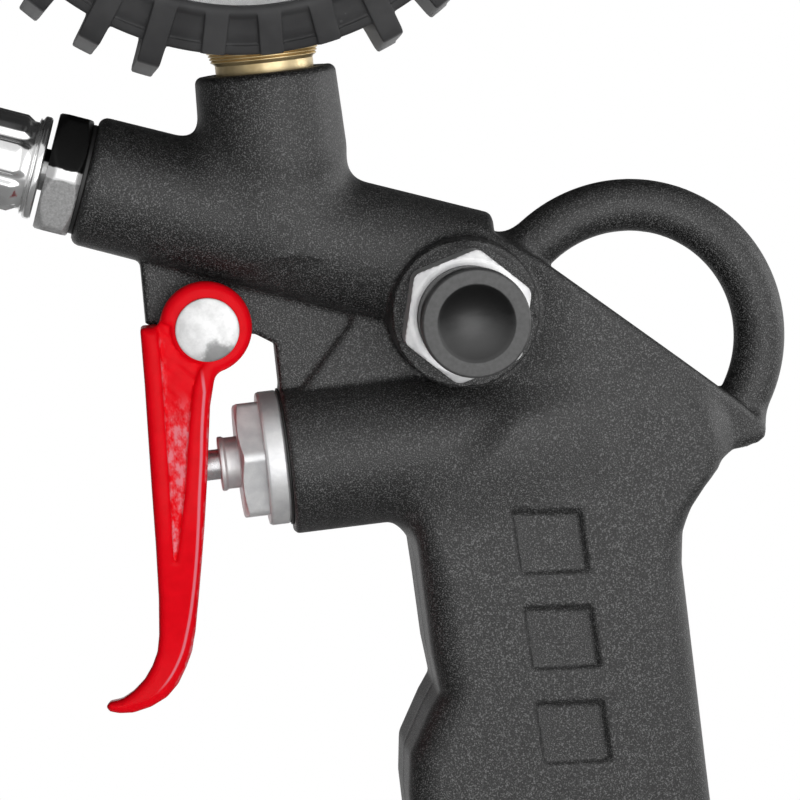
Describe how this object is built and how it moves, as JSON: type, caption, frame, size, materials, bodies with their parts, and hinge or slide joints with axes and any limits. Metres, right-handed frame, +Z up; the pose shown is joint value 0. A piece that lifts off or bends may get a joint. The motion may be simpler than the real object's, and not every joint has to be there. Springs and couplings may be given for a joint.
{
  "type": "tyre inflator with gauge",
  "caption": "Pistol-shaped air valve with a finger trigger, side bleed button, booted dial gauge on top, hanging loop and a short hose ending in a clip-on chuck.",
  "frame": {"origin": "centre of the air inlet plug's mouth, at its lowest face", "axes": "+Z up the grip and the gauge's stem, -X towards the hose, -Y is the side that the gauge's face and the bleed button look to"},
  "size_m": [0.2916, 0.0415, 0.474],
  "materials": {
    "powder_coat": "fine sandy black powder coat on an aluminium casting",
    "red_enamel": "glossy red enamel",
    "zinc": "satin zinc plate",
    "steel": "bright steel",
    "spring_steel": "drawn spring wire",
    "chrome": "polished chrome plate",
    "brass": "turned brass",
    "bronze": "drawn phosphor bronze",
    "seal_rubber": "moulded nitrile",
    "boot_rubber": "matt moulded rubber",
    "hose_rubber": "smooth hose cover",
    "button_plastic": "matt black moulding",
    "seat_plastic": "natural nylon",
    "white_plastic": "white moulding",
    "dial_enamel": "matt white enamel",
    "pointer_enamel": "matt black enamel",
    "lens_glass": "clear"
  },
  "bodies": {
    "handle": {"body": "powder_coat", "inlet_plug": "zinc", "inlet_washer": "seal_rubber", "inlet_filter": "bronze", "pivot_rivet": "zinc", "valve_bonnet": "zinc", "bonnet_gasket": "seal_rubber", "plunger_seal": "seal_rubber", "valve_seat": "seat_plastic", "valve_spring": "spring_steel", "bleed_nut": "zinc", "bleed_spring": "spring_steel", "gauge_socket": "brass", "socket_washer": "bronze", "gauge_case": "steel", "gauge_boot": "boot_rubber", "gauge_bezel": "steel", "gauge_lens": "lens_glass", "lens_spacer": "white_plastic", "gauge_dial": "dial_enamel", "dial_screws": "zinc", "hairspring": "spring_steel", "movement_frame": "brass", "movement_screws": "zinc", "bourdon_tube": "bronze", "tube_tip": "brass", "hose_fitting": "zinc", "fitting_seal": "seal_rubber", "hose_ferrule": "chrome", "hose": "hose_rubber", "chuck_ferrule": "chrome", "chuck_body": "chrome", "chuck_seal": "seal_rubber", "depressor_pin": "brass", "clip_pin": "steel", "clip_spring": "spring_steel"},
    "trigger": {"trigger": "red_enamel"},
    "plunger": {"plunger": "steel", "valve_poppet": "brass", "poppet_seal": "seal_rubber"},
    "bleed": {"bleed_button": "button_plastic", "bleed_stem": "steel", "bleed_seal": "seal_rubber"},
    "pointer": {"gauge_pointer": "pointer_enamel", "pinion": "brass"},
    "sector": {"sector_gear": "brass"},
    "link": {"gauge_link": "steel"},
    "clip": {"clip_lever": "chrome"}
  },
  "joints": [
    {"name": "trigger_pull", "type": "hinge", "parent": "handle", "child": "trigger", "pos_m": [-0.0495, 0, 0.136], "axis": [0, -1, 0], "range_deg": [0, 9], "stiffness_Nm_per_rad": 0.85, "springref_deg": -6.88},
    {"name": "plunger_push", "type": "slide", "parent": "handle", "child": "plunger", "axis": [1, 0, 0], "range_m": [0, 0.0038], "deforming": ["valve_spring"]},
    {"name": "bleed_press", "type": "slide", "parent": "handle", "child": "bleed", "axis": [0, 1, 0], "range_m": [0, 0.0025], "stiffness_N_per_m": 1500, "springref_m": -0.002, "deforming": ["bleed_spring"]},
    {"name": "pointer_turn", "type": "hinge", "parent": "handle", "child": "pointer", "pos_m": [-0.0355, 0, 0.2255], "axis": [0, 1, 0], "range_deg": [0, 270], "stiffness_Nm_per_rad": 0.0002, "springref_deg": -34.38, "deforming": ["hairspring"]},
    {"name": "sector_swing", "type": "hinge", "parent": "handle", "child": "sector", "pos_m": [-0.0355, 0, 0.212], "axis": [0, 1, 0], "range_deg": [-33.8, 0]},
    {"name": "link_pull", "type": "slide", "parent": "handle", "child": "link", "axis": [0.8738, 0, 0.4863], "range_m": [0, 0.00295]},
    {"name": "clip_open", "type": "hinge", "parent": "handle", "child": "clip", "pos_m": [-0.23528, 0, -0.17628], "axis": [0, 1, 0], "range_deg": [0, 12], "stiffness_Nm_per_rad": 0.15, "springref_deg": -11.46, "deforming": ["clip_spring"]}
  ],
  "couplings": [
    {"joint": "plunger_push", "follows": "trigger_pull", "m_per_rad": 0.024},
    {"joint": "sector_swing", "follows": "pointer_turn", "ratio": -0.125},
    {"joint": "link_pull", "follows": "pointer_turn", "m_per_rad": 0.000625}
  ]
}
